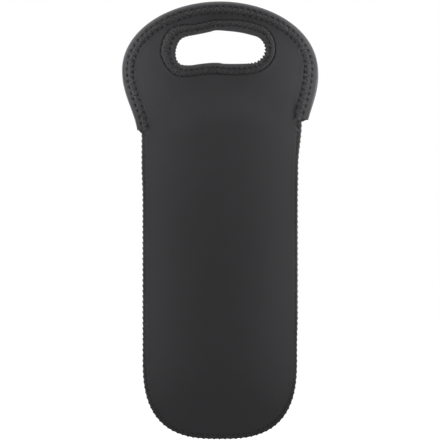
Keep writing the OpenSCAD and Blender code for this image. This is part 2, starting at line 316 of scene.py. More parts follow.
class Row:
    """A row of stitches that follows a track at an inset, and where its stitches fall."""

    def __init__(self, track, inset, pitch):
        self.track, self.line = track, track.moved(inset)
        self.run = run_along(self.line)
        self.stitches = round(self.run[-1] / pitch)
        self.pitch = self.run[-1] / self.stitches

    def phase(self, along):
        """How many stitches lie before a place along the track."""
        return np.interp(along, self.track.along, self.run) / self.pitch

    def to_hole(self, along, shift):
        """How far along the row the nearest needle hole lies. At a shift of 0.5 they lie halfway between."""
        phase = self.phase(along) + shift
        return np.abs(phase - np.round(phase)) * self.pitch

    def holes(self, along, off, shift, radius):
        """1 at the needle holes, falling off round them. off is the way across from their line."""
        return np.exp(-(self.to_hole(along, shift) ** 2 + off**2) / radius**2)


def inside(places, outline):
    """True for the places that an outline goes round."""
    x, h = places.T
    found = np.zeros(len(places), bool)
    for (xa, ha), (xb, hb) in zip(outline, np.roll(outline, -1, axis=0)):
        if ha != hb:
            found ^= ((ha > h) != (hb > h)) & (x < (xb - xa) * (h - ha) / (hb - ha) + xa)
    return found


def apart(places, others, least):
    """The places that lie at least that far from all the others."""
    return places[nearest(others, places)[1] > least] if len(places) else places


def smooth_loop(points, spacing):
    """A closed curve through given points."""
    points = np.array(points, float)
    a, b, c, d = (np.roll(points, k, axis=0)[:, None] for k in (1, 0, -1, -2))
    t = np.linspace(0, 1, 12, endpoint=False)[None, :, None]
    curve = 0.5 * (2 * b + (c - a) * t + (2 * a - 5 * b + 4 * c - d) * t**2 + (3 * b - a - 3 * c + d) * t**3)
    return Track(curve.reshape(-1, 2), spacing, closed=True)


# ---- the carrier's form

# How square the bottom's corners and the arch are, and how the pouch's depth falls off to its seams
CORNER_POWER = 2.8
ARCH_POWER = 2.0
PILLOW_POWER = 1.3
# Share of the half width over which a flap's foot closes in towards its sides
THROAT_SHARE = 0.8
# Heights at which the pouch's sides step outwards
LEAN_LOW_H, LEAN_HIGH_H = 90, 235
# Height and half width of the arch's bulge over each shoulder, and its share of the shoulder's size
SHOULDERS = {True: (335, 22, 0.2), False: (325, 18, 0.4)}
# How far the foam is pressed in under a needle row and thins out at the seam
GROOVE, SEAM_THIN = 0.8, 0.3
# Where and how deep the tape's end drags on the panel by the right notch
DRAG, DRAG_X, DRAG_RISE = 0.7, 71.5, 13
# Depth of the seam's scallops and of its rounded edge
SCALLOP, EDGE_ROUND = 0.35, 0.55
# Depth of the jersey's dent at a needle hole, and height of its bulge beside a tape
SEAM_DENT, ARCH_DENT, GRIP_DENT = 0.5, 0.6, 0.4
ARCH_BULGE, GRIP_BULGE, LOW_GRIP_BULGE = 0.34, 0.22, 0.5
# Lengths of the foam's waves, and their height as a share of it
FOAM_WAVES = (95, 61, 43, 29, 19)
FOAM_WAVE_SHARE = 0.0011
# The hand hole as it is cut and pulled by its tape: x, and height above the hole's lowest edge,
# from the tape's join at the bottom round to the right
HOLE_SHAPE = [
    (-1.6, 2.4), (5, 1.5), (17, 1.4), (27, 1.9), (34.8, 3.6), (40, 7), (43.2, 11.3), (44.1, 16),
    (43.4, 20.5), (41.2, 24.7), (37.5, 28), (30.5, 30.3), (20, 32.7), (8.4, 34.1), (-3.5, 34.8),
    (-10, 33.3), (-16, 32), (-25, 30.2), (-33.8, 28.1), (-38.8, 25.4), (-41.8, 20.5),
    (-43.3, 14.5), (-43.1, 8.5), (-41.4, 4), (-38.2, 1.1), (-33, 0.1), (-27, 0.2), (-20, 1.2), (-10, 2.3),
]
HOLE_FOOT_H = 368.1


class Form:
    """The carrier's outlines and depths, as its packed model has them."""

    def __init__(self, scene):
        self.cut, self.sew = cut, sew = values(scene.carrier_cut), values(scene.carrier_sewing)
        self.panel = cut.foam + 2 * (cut.jersey + cut.bond)
        self.right_notch = cut.total_height - cut.handle_height
        self.left_notch = self.right_notch - cut.notch_step
        self.arch_mid = cut.total_height - cut.arch_top
        self.seam = Track(self.seam_outline(), sew.seam_pitch / 4)
        self.arch = Track(self.arch_outline(), sew.arch_pitch / 10)
        self.hole = smooth_loop([(x, h + HOLE_FOOT_H) for x, h in HOLE_SHAPE], sew.grip_pitch / 9)
        # A hole's tape is wider round its left end, and changes a little along its upper edge
        x, h = self.hole.line.T
        widened = ease((-x - 24) / 18) * mix(0.35, 1, ease((h - HOLE_FOOT_H - 2) / 12))
        grip_wide = mix(sew.grip_tape, sew.grip_tape_left, widened)
        grip_wide += ease((h - HOLE_FOOT_H - 18) / 12) * (0.8 * ease((x - 5) / 20) - 0.9 * ease((14 - x) / 16))
        # An arch's tape widens down its right flank, and its zigzag with it
        along = self.arch.along
        arch_wide = mix(sew.arch_tape, sew.arch_tape_end, ease((along - along[-1] + 109) / 95))
        arch_zigzag = sew.arch_zigzag + 0.65 * (arch_wide - sew.arch_tape)
        self.arch_tape = Tape(self, self.arch, arch_wide, arch_zigzag, sew.arch_pitch, sew.arch_hem)
        grip_zigzag = sew.grip_zigzag + 0.85 * np.maximum(0, grip_wide - sew.grip_tape)
        self.grip_tape = Tape(self, self.hole, grip_wide, grip_zigzag, sew.grip_pitch, sew.grip_hem)
        self.tapes = {"arch": self.arch_tape, "grip": self.grip_tape}
        self.seam_row = Row(self.seam, 0, sew.seam_pitch)
        # The overedge threads reach further in round the bottom and below the right notch
        x, h = self.seam.line.T
        low, high = 1 - ease((h - 25) / 55), ease((h - self.right_notch + 45) / 35) * (x > 0)
        self.seam_reach = mix(sew.seam_reach, sew.bottom_reach, np.maximum(low, 0.8 * high))

    def side_x(self, left, h):
        """How far out the pouch's side lies at a height."""
        cut = self.cut
        flare = cut.flare * ease((h - self.right_notch + cut.flare_height) / cut.flare_height)
        right = flare + cut.lean * (0.6 * ease((h - LEAN_LOW_H) / 30) + 0.4 * ease((h - LEAN_HIGH_H) / 30))
        return cut.pouch_width / 2 + np.where(left, cut.lean * ease((h - LEAN_HIGH_H) / 35), right)

    def crease_h(self, x):
        """The height of the crease from notch to notch."""
        across = (x + self.cut.pouch_width / 2) / (self.cut.pouch_width + self.cut.flare)
        return mix(self.left_notch, self.right_notch, across)

    def seam_outline(self):
        """From the right notch down, round the bottom and up to the left notch."""
        down = np.linspace(self.right_notch, self.cut.bottom_round, 200)
        turn = np.linspace(0, np.pi, 721)[1:-1]
        bottom_x = self.cut.pouch_width / 2 * rounded(np.cos(turn), CORNER_POWER)
        bottom_h = self.cut.bottom_round * (1 - rounded(np.sin(turn), CORNER_POWER))
        bottom_h -= self.cut.bottom_drop * np.sin(turn) ** 2
        up = np.linspace(self.cut.bottom_round, self.left_notch, 200)
        right, left = paired(self.side_x(False, down), down), paired(-self.side_x(True, up), up)
        return np.vstack([right, paired(bottom_x, bottom_h), left])

    def arch_outline(self):
        """From the left tip over the top to the right tip."""
        cut = self.cut
        left_tip, right_tip = self.left_notch + cut.left_tip_rise, self.right_notch + cut.right_tip_rise
        neck_height = self.arch_mid - left_tip + cut.neck_run

        def neck_x(left, h):
            neck = cut.pouch_width / 2 + (0 if left else cut.flare) + cut.wing_step
            middle, width, share = SHOULDERS[left]
            belly = cut.shoulder * (share * bell(h - middle, width)) * ease((self.arch_mid - h) / 12)
            return mix(cut.arch_width / 2, neck, ease((self.arch_mid - h) / neck_height)) + belly

        up, down = np.linspace(left_tip, self.arch_mid, 120), np.linspace(self.arch_mid, right_tip, 120)
        turn = np.linspace(np.pi, 0, 481)[1:-1]
        top_x = cut.arch_width / 2 * rounded(np.cos(turn), ARCH_POWER)
        top_h = self.arch_mid + cut.arch_top * rounded(np.sin(turn), ARCH_POWER)
        left, right = paired(-neck_x(True, up), up), paired(neck_x(False, down), down)
        return np.vstack([left, paired(top_x, top_h), right])

    def pouch_gap(self, x, h):
        """From the middle plane to a pouch panel's inner face."""
        cut = self.cut
        across = np.minimum(1, np.abs(x) / self.side_x(x < 0, h))
        down = np.maximum(0, 1 - h / cut.bottom_round)
        near = np.minimum(1, (across**CORNER_POWER + down**CORNER_POWER) ** (1 / CORNER_POWER))
        open_gap = mix(cut.mouth_gap, cut.belly_gap, ease((self.crease_h(0) - h) / cut.mouth_zone))
        return mix(cut.seam_gap, open_gap, (1 - near**2) ** PILLOW_POWER)

    def gap(self, places):
        """From the middle plane to a panel's inner face."""
        x, h = places.T
        foot_h = self.crease_h(x)
        rise = h - foot_h
        wing = ease((np.abs(x) / self.side_x(x < 0, foot_h) - THROAT_SHARE / 2) * 2 / THROAT_SHARE)
        base = self.pouch_gap(x, np.minimum(h, foot_h))
        base = mix(base, self.cut.handle_gap, np.where(rise > 0, ease(rise / self.cut.throat), 0))
        return base + wing * (self.cut.handle_gap - base) * ease((rise + 4) / 18)

    def locate(self, places):
        """What the fabric at each place needs to know of the seams round it."""
        spots = SimpleNamespace(places=places, gap=self.gap(places), tapes=[], under_tape=0)
        spots.seam_in, spots.seam_at = self.seam.near(places)
        groove = 0
        for tape in self.tapes.values():
            inset, along = tape.track.near(places)
            edge = inset - tape.at(along, tape.wide)
            spots.under_tape = np.maximum(spots.under_tape, 1 - ease((edge + 0.6) / 1.2))
            groove = groove + bell(inset - tape.at(along, tape.outer_in), 1.0)
            spots.tapes.append((tape, along, edge))
        spots.needle_off = spots.seam_in - np.interp(spots.seam_at, self.seam.along, self.seam_reach)
        thick = self.panel - self.cut.squeeze * spots.under_tape - GROOVE * groove
        thick -= SEAM_THIN * bell(spots.seam_in, 2.0)
        x, h = places.T
        thick -= DRAG * bell(x - DRAG_X, 4.5) * bell(h - self.right_notch - DRAG_RISE, 8)
        spots.outer = spots.gap + thick
        return spots

    def swell(self, spots, seed):
        """How far the outer jersey stands out or is pulled in at each place."""
        x, h = spots.places.T
        held = self.seam_row.holes(spots.seam_at, spots.needle_off, 0, 0.9)
        relief = -SEAM_DENT * held - 0.05 * bell(spots.needle_off, 0.8) + 0.06 * bell(spots.needle_off - 2.0, 1.6)
        relief -= EDGE_ROUND * np.clip(1 - spots.seam_in / 1.1, 0, 1) ** 2
        pit = self.sew.pit_width
        (_, _, arch_edge), (_, _, grip_edge) = spots.tapes
        arch_held, grip_held = (tape.row.holes(along, edge, 0.5, pit) for tape, along, edge in spots.tapes)
        relief -= ARCH_DENT * arch_held
        relief += ARCH_BULGE * bell(arch_edge - 1.5, 1.4)
        bulge = mix(LOW_GRIP_BULGE, GRIP_BULGE, ease((h - HOLE_FOOT_H - 5) / 6))
        relief += bulge * bell(grip_edge - 1.7, 1.4) - 0.08 * bell(grip_edge - 0.1, 0.6) - GRIP_DENT * grip_held
        # Soft unevenness of the hanging foam
        rng = np.random.default_rng(seed)
        for wave in FOAM_WAVES:
            turn, shift = rng.uniform(0, np.pi), rng.uniform(0, 2 * np.pi)
            across = x * np.cos(turn) + h * np.sin(turn)
            relief += FOAM_WAVE_SHARE * wave * np.sin(2 * np.pi * across / wave + shift)
        return relief

    def sunk(self, spots):
        """Painted shade at each place of the outer jersey, 0 to 1: strongest at the needle holes, where it is
        painted near black.
        """
        found = 0.8 * self.seam_row.holes(spots.seam_at, spots.needle_off, 0, 0.6)
        for tape, along, edge in spots.tapes:
            found = np.maximum(found, tape.row.holes(along, edge + tape.hem, 0.5, 1.3))
        return found

    def scallop(self, spots):
        """Places with the seam's edge drawn in between the overedge threads."""
        drawn = SCALLOP * waves(self.seam_row.phase(spots.seam_at))
        return spots.places + self.seam.pull(spots.seam_at, drawn * np.clip(1 - spots.seam_in / 2.2, 0, 1))


# ---- panels

# Play between a tape and the panel inside its fold
TAPE_PLAY = 0.15
# Distances between a panel's points, for the outer jersey and for the layers under it
FINE_LATTICE, PLAIN_LATTICE = 3.1, 5.5


def stepped(points, every):
    """One in so many of a line's points, and its last one."""
    kept = points[::every]
    return kept if np.allclose(kept[-1], points[-1]) else np.vstack([kept, points[-1]])


def panel_plan(form, detail):
    """Places and triangles that cover a panel, closer together along its seams and tapes."""
    rim_in = form.sew.tape + TAPE_PLAY
    arch_rim = stepped(form.arch.moved(rim_in), 4 if detail else 9)
    seam_rim = stepped(form.seam.line, 1 if detail else 3)
    bridges = [
        np.linspace(a, b, 5)[1:-1] for a, b in ((arch_rim[-1], seam_rim[0]), (seam_rim[-1], arch_rim[0]))
    ]
    rim = np.vstack([arch_rim, bridges[0], seam_rim, bridges[1]])
    hole_rim = form.hole.moved(rim_in + form.sew.pucker * np.minimum(form.grip_tape.tight, 1), 4)
    if np.allclose(hole_rim[-1], hole_rim[0]):
        hole_rim = hole_rim[:-1]
    cloud = np.vstack([rim, hole_rim])
    if detail:
        arch, grip = form.arch_tape, form.grip_tape
        rows = [(form.seam, w, 1) for w in (0.4, 0.85, 1.4, 2.1, 2.9, 3.6, 4.3, 5.1)]
        rows += [(form.seam, w, 2) for w in (6.4, 8.2)]
        rows += [(form.arch, arch.wide + w, 1) for w in (-0.7, 0, 0.7, 1.5)]
        rows += [(form.arch, arch.outer_in + w, 2) for w in (-1.5, -0.6, 0.3, 1.2)]
        rows += [(form.arch, arch.wide + w, 3) for w in (-2.2, 2.4, 3.6, 5.4)]
        rows += [(form.hole, grip.wide + w, 2) for w in (-2.2, -1.0, -0.4, 0.1, 0.7, 1.4, 2.3, 3.4, 4.9)]
        rows += [(form.hole, grip.outer_in + w, 3) for w in (-1.2, 0.0, 1.2)]
        lattice = FINE_LATTICE
    else:
        rows = [(form.seam, 3.0, 3)]
        for tape in form.tapes.values():
            rows += [(tape.track, tape.wide, 5)] + [(tape.track, tape.outer_in + w, 4) for w in (-1.6, 0, 1.6)]
        lattice = PLAIN_LATTICE
    for track, inset, step in rows:
        extra = track.moved(inset, step)
        least = 0.28 if detail and step == 1 else 0.42 * track.along[1] * step
        cloud = np.vstack([cloud, apart(extra[inside(extra, rim)], cloud, least)])
    columns = np.arange(-100, 100, lattice)
    levels = np.arange(2, form.cut.total_height, lattice * 0.866)
    grid = np.array([(x + (j % 2) * lattice / 2, h) for j, h in enumerate(levels) for x in columns])
    grid = grid[inside(grid, rim) & ~inside(grid, hole_rim)]
    cloud = np.vstack([cloud, apart(grid, cloud, lattice * 0.62)])
    n, m = len(rim), len(hole_rim)
    loops = [(k, (k + 1) % n) for k in range(n)] + [(n + k, n + (k + 1) % m) for k in range(m)]
    found = delaunay_2d_cdt([Vector(p) for p in cloud], loops, [], 0, 1e-4)
    places = np.array([tuple(p) for p in found[0]])
    triangles = np.array([f for f in found[2] if len(f) == 3])
    middles = places[triangles].mean(1)
    return places, triangles[inside(middles, rim) & ~inside(middles, hole_rim)]


def add_object(name, data):
    """A new object in the scene."""
    made = bpy.data.objects.new(name, data)
    bpy.context.scene.collection.objects.link(made)
    return made


def numbers_of(items, key, width=1, kind=np.float32):
    """One key of all the items, as an array."""
    numbers = np.empty(len(items) * width, kind)
    items.foreach_get(key, numbers)
    return numbers


def make_piece(name, points, faces, uv=None, material=None):
    """A smooth mesh object from points in metres, with the flat cloth's own coordinates as its UV map."""
    mesh = bpy.data.meshes.new(name)
    mesh.from_pydata(np.asarray(points).tolist(), [], [list(map(int, f)) for f in faces])
    mesh.shade_smooth()
    if uv is not None:
        corners = numbers_of(mesh.loops, "vertex_index", kind=np.int32)
        mesh.uv_layers.new(name="cloth").data.foreach_set("uv", np.asarray(uv, np.float32)[corners].ravel())
    if mesh.validate():
        raise RuntimeError(f"{name} has faces that don't hold")
    if material:
        mesh.materials.append(material)
    return add_object(name, mesh)


def mark(piece, name, numbers):
    """Keep a number for every point of a piece, for its material."""
    layer = piece.data.attributes.new(name, "FLOAT", "POINT")
    layer.data.foreach_set("value", np.asarray(numbers, np.float32))


def layer_piece(name, places, triangles, outer, inner, side, material):
    """A closed layer of a panel between two depths."""
    n = len(places)
    points = np.vstack([to_frame(places, depth, side) for depth in (outer, inner)])
    once = {}
    for a, b in np.vstack([triangles[:, pair] for pair in ([0, 1], [1, 2], [2, 0])]).tolist():
        if once.pop((b, a), None) is None:
            once[(a, b)] = True
    rim = [(b, a, a + n, b + n) for a, b in once]
    faces = triangles.tolist() + (triangles[:, ::-1] + n).tolist() + rim
    return make_piece(name, points, facing(faces, side), np.vstack([places, places]), material)


def facing(faces, side):
    """Faces turned to look outwards on their side of the carrier."""
    return [f[::-1] for f in faces] if side < 0 else faces


# ---- tapes

# How square a tape's fold is
FOLD_POWER = 2.2
# Shares of the fold's width, then of the flat part's, at which a tape's section is stepped
FOLD_SHARES = (0, 0.04, 0.14, 0.3, 0.5, 0.74, 1)
FLAT_STEPS = 17
# How far a tape puffs up outside its stitches and between their rows, and how deep it creases
PUFF_OUTSIDE, PUFF_BETWEEN, CREASE = 0.12, 0.08, 0.16
# Height and length of the lap where a hole's tape begins on its own end
LAP, LAP_LENGTH = 0.4, 11
# Length of the stretch at each end over which an arch's tape turns level
END_LENGTH = 12
# Where a hand hole's tape is gathered: share, x, height above the hole's foot, and radius
TIGHT_PLACES = ((1, 43, 14, 9), (0.9, 36, 4, 8), (0.45, -40, 4, 8), (0.35, -43, 14, 8), (0.3, -34, 27, 7))


def fold_round(round_in):
    """The rounding of a fold: 0 at its tip, and 1 where the tape lies flat."""
    return np.clip(1 - (1 - round_in) ** FOLD_POWER, 0, 1) ** (1 / FOLD_POWER)


class Tape:
    """A knit tape folded over a panel's edge, held by a zigzag between two rows of needle holes."""

    def __init__(self, form, track, wide, zigzag, pitch, hem):
        self.form, self.track = form, track
        self.wide = np.broadcast_to(wide, track.along.shape).astype(float)
        self.hem, self.inner_in = hem, self.wide - hem
        self.outer_in = self.inner_in - zigzag
        self.row = Row(track, self.outer_in, pitch)
        self.pressed = (form.panel - form.cut.squeeze) / 2
        self.full = self.pressed + TAPE_PLAY + form.sew.tape
        self.bed = self.pressed + 0.12
        along, x, h = track.along, *track.line.T
        if track.closed:
            self.gather = form.sew.pucker * waves(along / form.sew.pucker_pitch)
            self.tight = sum(
                share * np.exp(-((x - at_x) ** 2 + (h - HOLE_FOOT_H - at_h) ** 2) / radius**2)
                for share, at_x, at_h, radius in TIGHT_PLACES
            )
            # The tape's start lies over its end at the bottom of the hole
            self.lap = LAP * (ease(along / 0.7) - ease((along - LAP_LENGTH) / 3.0))
            self.skew = self.peep = np.zeros_like(along)
            self.fold = np.full_like(along, form.sew.fold)
            # The free edge lies flat all round but at the bottom of the hole
            self.thin = mix(0.25, 0.9, ease((h - HOLE_FOOT_H - 5) / 6))
        else:
            self.gather = self.tight = self.lap = np.zeros_like(along)
            # The back flap shows past the front one low on both flanks
            self.peep = 0.4 * bell(along - 32, 34) + 1.3 * bell(along - along[-1] + 32, 24)
            # The fold is pulled flatter down the flanks
            self.fold = form.sew.fold * mix(0.36, 1.15, ease((h - form.arch_mid) / 30))
            self.thin = np.full_like(along, 0.2)
            # Both ends are cut level, whatever the way the track runs there
            slope = track.inward[:, 1] / -track.ahead[:, 1]
            ends = ease((END_LENGTH - along) / END_LENGTH)
            ends += ease((along - along[-1] + END_LENGTH) / END_LENGTH)
            self.skew = np.clip(slope * ends, -0.8, 0.8)

    def at(self, along, values):
        """Values along the tape at other places along it."""
        return np.interp(along, self.track.along, values)

    def holes(self, inset, outer_radius, inner_radius):
        """The needle holes of the outer row and of the inner one, at an inset."""
        along, row = self.track.along, self.row
        inner = row.holes(along, inset - self.inner_in, 0.5, inner_radius)
        return row.holes(along, inset - self.outer_in, 0, outer_radius), inner

    def places(self, inset, side=1):
        """Where the tape lies at an inset from its fold."""
        dent = self.gather * np.minimum(self.tight, 1) * np.exp(-inset / 1.8)
        if side < 0:
            dent = dent - self.peep * np.exp(-((inset / 5) ** 4))
        return (
            self.track.line
            + self.track.inward * (inset + dent)[:, None]
            + self.track.ahead * (inset * self.skew)[:, None]
        )

    def half(self, inset, face, pits=True):
        """How far the tape's surface stands off the panel's middle on its outer face, 1, or its inner one, -1."""
        sew, along = self.form.sew, self.track.along
        round_in = np.minimum(inset, self.fold) / self.fold
        half = self.full * fold_round(round_in)
        # The cloth puffs up outside the stitches, and between their two rows
        outside = np.clip(inset / np.maximum(self.outer_in, 1), 0, 1)
        between = np.clip((inset - self.outer_in) / (self.inner_in - self.outer_in), 0, 1)
        puff = PUFF_OUTSIDE * np.sin(np.pi * outside**1.5) ** 2 * (inset < self.outer_in)
        puff = puff - 0.04 * bell(inset - self.outer_in, 1.0) + PUFF_BETWEEN * np.sin(np.pi * between)
        half = half + puff + self.lap * np.minimum(1, inset / self.fold)
        # Gathers run in from the tight ends of a hole, and creases across from each stitch
        half = half - 0.45 * self.gather * np.minimum(self.tight, 1) * np.exp(-((inset / 6.5) ** 4)) * round_in
        wave = np.cos(2 * np.pi * self.row.phase(along))
        half = half - CREASE * wave * bell(inset - self.outer_in, 1.6)
        half = half + CREASE * wave * bell(inset - self.inner_in, 1.6)
        half = half - self.thin * ease((inset - self.wide + 1.4) / 1.4)
        if pits:
            deep = sew.pit if face > 0 else 0.6 * sew.pit
            outer_holes, inner_holes = self.holes(inset, sew.pit_width, 1.1 * sew.pit_width)
            half = half - deep * outer_holes - deep * inner_holes
        return half

    def depth(self, places, half, face):
        """Depth of a point of the tape, from the carrier's middle plane."""
        return self.form.gap(places) + self.pressed + face * half

    def section(self):
        """The folded section from one free edge round the fold to the other: inset, half thickness and face."""
        fold = self.fold
        # The free edge is drawn in a little at each needle hole beside it
        free = self.wide - 0.3 * bell(self.row.to_hole(self.track.along, 0.5), 1.2)
        steps = [fold * share for share in FOLD_SHARES]
        steps += [mix(fold, free, (k + 1) / (FLAT_STEPS + 0.3)) for k in range(FLAT_STEPS)]
        outer = {face: [(inset, self.half(inset, face)) for inset in steps] for face in (1, -1)}
        for run in outer.values():
            last = run[-1][1]
            run += [(free, mix(self.bed, last, 0.7)), (free + 0.05, np.minimum(last, mix(self.bed, last, 0.3)))]
        hollow = {face: [self.lining(*step, free) for step in run[::2]] for face, run in outer.items()}

        def loop(runs):
            return [(*step, 1) for step in reversed(runs[1])] + [(*step, -1) for step in runs[-1][1:]]

        return loop(outer), loop(hollow)

    def lining(self, inset, half, free):
        """The tape's own inner surface under a point of its outer one."""
        fold, thick = self.fold, self.form.sew.tape
        round_in = np.minimum(inset, fold) / fold
        inner_in = np.where(inset < fold, mix(thick, fold, round_in), inset)
        flat = np.maximum(np.minimum(self.bed, half - 0.15), 0.0)
        return np.minimum(inner_in, free - 0.02), flat * fold_round(round_in)


def folded_tape(name, tape, side, material):
    """The solid of a folded tape, open or closed along its track."""
    track = tape.track
    stations = len(track.along) - (1 if track.closed else 0)
    outer, hollow = tape.section()
    columns = [
        to_frame(tape.places(inset, side), tape.depth(tape.places(inset, side), half, face), side)[:stations]
        for inset, half, face in outer + hollow[::-1]
    ]
    width = len(columns)
    points = np.stack(columns, axis=1).reshape(-1, 3)
    here = np.arange(stations if track.closed else stations - 1)[:, None] * width
    there = (here + width) % (stations * width)
    j = np.arange(width)[None]
    k = (j + 1) % width
    faces = np.stack([here + j, here + k, there + k, there + j], axis=2).reshape(-1, 4).tolist()
    if not track.closed:
        last = (stations - 1) * width
        for k in range(len(hollow) - 1):
            a, b, c = 2 * k, 2 * k + 1, 2 * k + 2
            inner, after = width - 1 - k, width - 2 - k
            for cap in ((a, inner, b), (b, inner, after), (b, after, c)):
                faces += [cap, tuple(last + v for v in reversed(cap))]
    across = [face * inset.mean() for inset, _, face in outer + hollow[::-1]]
    uv = paired(np.repeat(track.along[:stations], width), np.tile(across, stations))
    piece = make_piece(name, points, facing(faces, side), uv, material)
    # Painted shade at the tape's needle holes, on its outer faces only
    sunk = [np.maximum(*tape.holes(inset, 1.2, 1.35)) for inset, _, _ in outer]
    sunk += [np.zeros_like(track.along)] * len(hollow)
    mark(piece, "sunk", np.stack(sunk, axis=1)[:stations].ravel())
    return piece


# ---- node trees


def maths(operation):
    """A method of a wire that adds a Math node."""
    return lambda wire, *others: wire.tree.add("ShaderNodeMath", [wire, *others], operation=operation)


class Wire:
    """A socket's value in a node tree. Its operators and methods add Math nodes."""

    def __init__(self, tree, socket):
        self.tree, self.socket = tree, socket

    def __rsub__(self, other):
        return self.tree.add("ShaderNodeMath", [other, self], operation="SUBTRACT")

    __add__ = __radd__ = maths("ADD")
    __mul__ = __rmul__ = maths("MULTIPLY")
    __sub__, __truediv__ = maths("SUBTRACT"), maths("DIVIDE")
    __pow__, __mod__ = maths("POWER"), maths("FLOORED_MODULO")
    floor, fraction, size, cosine = maths("FLOOR"), maths("FRACT"), maths("ABSOLUTE"), maths("COSINE")
    maximum = maths("MAXIMUM")


class Tree:
    """Adds nodes to a node tree and links them."""

    def __init__(self, tree):
        self.tree = tree

    def add(self, kind, inputs=(), output=0, **settings):
        """A node of a kind, its sockets given by index or name. Returns one output."""
        node = self.last = self.tree.nodes.new(kind)
        for key, value in settings.items():
            setattr(node, key, value)
        for key, value in inputs.items() if isinstance(inputs, dict) else enumerate(inputs):
            if isinstance(value, Wire):
                self.tree.links.new(value.socket, node.inputs[key])
            elif value is not None:
                node.inputs[key].default_value = value
        return Wire(self, node.outputs[output]) if node.outputs else None

    def output(self, name):
        """Another output of the node that was added last."""
        return Wire(self, self.last.outputs[name])


def empty_tree(holder):
    """The node tree of a material or a world, with nothing in it."""
    holder.use_nodes = True
    holder.node_tree.nodes.clear()
    return Tree(holder.node_tree)


# What a thread's path carries at each point: the way to the needle hole, two that lift the thread
# over the cloth, and the way to the far end of the stitch
OFFSETS = ("needle", "rise", "turn", "far")


def thread_tree():
    """Geometry nodes that sew a thread along a path, from needle hole to needle hole."""
    group = bpy.data.node_groups.new("Sewn thread", "GeometryNodeTree")
    face = group.interface
    for name, kind, default in (
        ("Path", "NodeSocketGeometry", None),
        ("Stitches", "NodeSocketInt", 10),
        ("Steps", "NodeSocketInt", 9),
        ("Thickness", "NodeSocketFloat", 0.0007),
        ("Ply turn", "NodeSocketFloat", 0.95),
        ("Material", "NodeSocketMaterial", None),
    ):
        socket = face.new_socket(name, in_out="INPUT", socket_type=kind)
        if default is not None:
            socket.default_value = default
    face.new_socket("Thread", in_out="OUTPUT", socket_type="NodeSocketGeometry")
    tree = Tree(group)
    tree.add("NodeGroupInput")
    start = {s.name: Wire(tree, s) for s in tree.last.outputs}
    steps, stitches = start["Steps"], start["Stitches"]
    curve = tree.add("GeometryNodeMeshToCurve", [start["Path"]])
    count = stitches * steps * 2 + 1
    curve = tree.add("GeometryNodeResampleCurve", {"Curve": curve, "Count": count}, mode="COUNT")
    index = tree.add("GeometryNodeInputIndex")
    leg = index / steps
    number = (leg + 0.0001).floor()
    t = leg - number
    back = number % 2.0
    t = t + back * (1 - t * 2)
    rest = 1 - t
    weights = (rest * rest * rest, rest * rest * t * 3, rest * t * t * 3, t * t * t)
    offset = None
    for name, weight in zip(OFFSETS, weights):
        vector = tree.add("GeometryNodeInputNamedAttribute", {"Name": name}, data_type="FLOAT_VECTOR")
        part = tree.add("ShaderNodeVectorMath", {0: vector, "Scale": weight}, operation="SCALE")
        offset = tree.add("ShaderNodeVectorMath", [offset, part], operation="ADD") if offset else part
    curve = tree.add("GeometryNodeSetPosition", {"Geometry": curve, "Offset": offset})
    twist = index * start["Ply turn"]
    curve = tree.add("GeometryNodeSetCurveTilt", {"Curve": curve, "Tilt": twist})
    # Each leg's two ends, where the thread goes into a needle hole, get painted shade
    for name, value in (("twist", twist), ("sunk", (t * 2 - 1).size() ** 3)):
        inputs = {"Geometry": curve, "Name": name, "Value": value}
        curve = tree.add("GeometryNodeStoreNamedAttribute", inputs, data_type="FLOAT", domain="POINT")
    inputs = {"Resolution": 6, "Radius": start["Thickness"] * 0.5}
    ring = tree.add("GeometryNodeCurvePrimitiveCircle", inputs, mode="RADIUS")
    squash = tree.add("ShaderNodeCombineXYZ", [1.0, 0.72, 1.0])
    ring = tree.add("GeometryNodeTransform", {"Geometry": ring, "Scale": squash})
    tube = tree.add("GeometryNodeCurveToMesh", {"Curve": curve, "Profile Curve": ring, "Fill Caps": True})
    tube = tree.add("GeometryNodeSetShadeSmooth", {"Geometry": tube, "Shade Smooth": True})
    tube = tree.add("GeometryNodeRealizeInstances", [tube])
    tube = tree.add("GeometryNodeSetMaterial", {"Geometry": tube, "Material": start["Material"]})
    tree.add("NodeGroupOutput", [tube])
    return group


def sew(name, rows, material):
    """One piece of thread from rows of (path points, offsets, stitches, steps, thickness)."""
    group = bpy.data.node_groups.get("Sewn thread") or thread_tree()
    sockets = {s.name: s.identifier for s in group.interface.items_tree if s.in_out == "INPUT"}
    points, faces, base = [], [], 0
    marks = {"twist": [], "sunk": []}
    for path, offsets, stitches, steps, thick in rows:
        mesh = bpy.data.meshes.new(f"{name}_path")
        mesh.from_pydata(path.tolist(), [(i, i + 1) for i in range(len(path) - 1)], [])
        for key, vectors in zip(OFFSETS, offsets):
            layer = mesh.attributes.new(key, "FLOAT_VECTOR", "POINT")
            layer.data.foreach_set("vector", np.asarray(vectors, np.float32).ravel())
        piece = add_object(name, mesh)
        modifier = piece.modifiers.new("Sewing", "NODES")
        modifier.node_group = group
        given = {"Stitches": stitches, "Steps": steps, "Thickness": thick * MM, "Material": material}
        for key, value in given.items():
            modifier[sockets[key]] = value
        depsgraph = bpy.context.evaluated_depsgraph_get()
        thread = bpy.data.meshes.new_from_object(piece.evaluated_get(depsgraph))
        bpy.data.objects.remove(piece)
        bpy.data.meshes.remove(mesh)
        points.append(numbers_of(thread.vertices, "co", 3).reshape(-1, 3))
        for key, numbers in marks.items():
            numbers.append(numbers_of(thread.attributes[key].data, "value"))
        faces += [[base + v for v in face.vertices] for face in thread.polygons]
        base += len(thread.vertices)
        bpy.data.meshes.remove(thread)
    if not base:
        raise RuntimeError(f"{name} has no thread")
    piece = make_piece(name, np.vstack(points), faces, None, material)
    for key, numbers in marks.items():
        mark(piece, key, np.concatenate(numbers))
    return piece


# ---- materials

# The near black of the painted shade at the needle holes, and the fibres' bloom on the jersey
PAINTED_HOLE_SHADE_COLOUR = (0.004, 0.004, 0.004, 1)
SHEEN_TINT = (0.86, 0.86, 0.9, 1.0)
